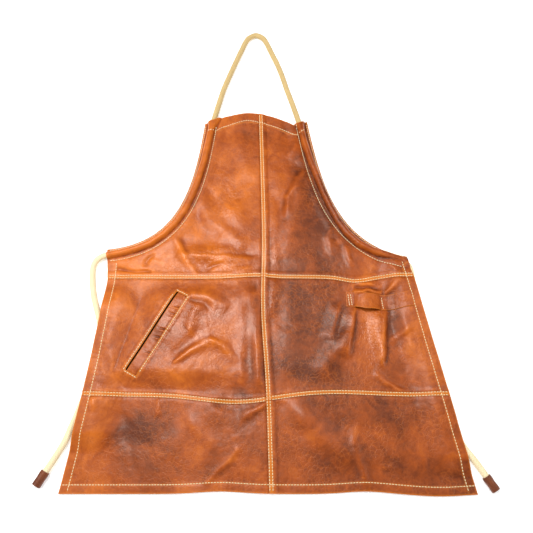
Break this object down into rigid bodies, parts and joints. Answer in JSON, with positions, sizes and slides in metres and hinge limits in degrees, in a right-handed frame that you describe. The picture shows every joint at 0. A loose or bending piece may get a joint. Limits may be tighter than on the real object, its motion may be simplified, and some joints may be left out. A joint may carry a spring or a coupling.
{
  "type": "welding apron",
  "caption": "Leather welding apron laid flat: seamed panels, corded armhole casings, neck loop cord, side ties with leather tips, slanted welt pocket and a sewn tool loop.",
  "frame": {"origin": "centre of the leather's footprint, on the surface that it lies on; the free cords reach past it", "axes": "+X to the right of a person facing the apron's front, +Y from the hem to the bib, +Z out of the front of the leather"},
  "size_m": [0.8128, 1.0259, 0.0169],
  "materials": {
    "leather": "glossy waxed pull-up leather, cognac brown",
    "leather_back": "matte suede flesh side, brown",
    "tip_leather": "satin brown leather",
    "cotton_cord": "matte braided cotton, beige",
    "thread": "satin waxed topstitching thread, cream"
  },
  "bodies": {
    "apron": {"bib_panel_left": "leather", "bib_panel_right": "leather", "waist_panel_left": "leather", "waist_panel_right": "leather", "skirt_panel_left": "leather", "skirt_panel_right": "leather", "armhole_facing_left": "leather_back", "armhole_facing_right": "leather_back", "pocket_bag": "leather_back", "pocket_welt": "leather", "tool_loop": "leather", "cord_in_left_casing": "cotton_cord", "cord_in_right_casing": "cotton_cord", "center_seam_thread": "thread", "waist_seam_thread": "thread", "skirt_seam_thread": "thread", "left_hem_thread": "thread", "right_hem_thread": "thread", "bottom_hem_thread": "thread", "top_hem_thread": "thread", "armhole_thread_left": "thread", "armhole_thread_right": "thread", "pocket_thread": "thread", "tool_loop_thread": "thread"},
    "neck_loop": {"neck_loop_cord": "cotton_cord"},
    "left_tie": {"left_tie_cord": "cotton_cord", "left_cord_tip": "tip_leather"},
    "right_tie": {"right_tie_cord": "cotton_cord", "right_cord_tip": "tip_leather"}
  },
  "joints": [
    {"name": "neck_loop_lift", "type": "hinge", "parent": "apron", "child": "neck_loop", "pos_m": [-0.027, 0.398, 0.0076], "axis": [1, 0, 0], "range_deg": [0, 110]},
    {"name": "left_tie_swing", "type": "hinge", "parent": "apron", "child": "left_tie", "pos_m": [-0.343, 0.044, 0.0076], "axis": [0, 0, -1], "range_deg": [0, 75]},
    {"name": "right_tie_swing", "type": "hinge", "parent": "apron", "child": "right_tie", "pos_m": [0.277, 0.037, 0.0076], "axis": [0, 0, 1], "range_deg": [0, 60]}
  ]
}
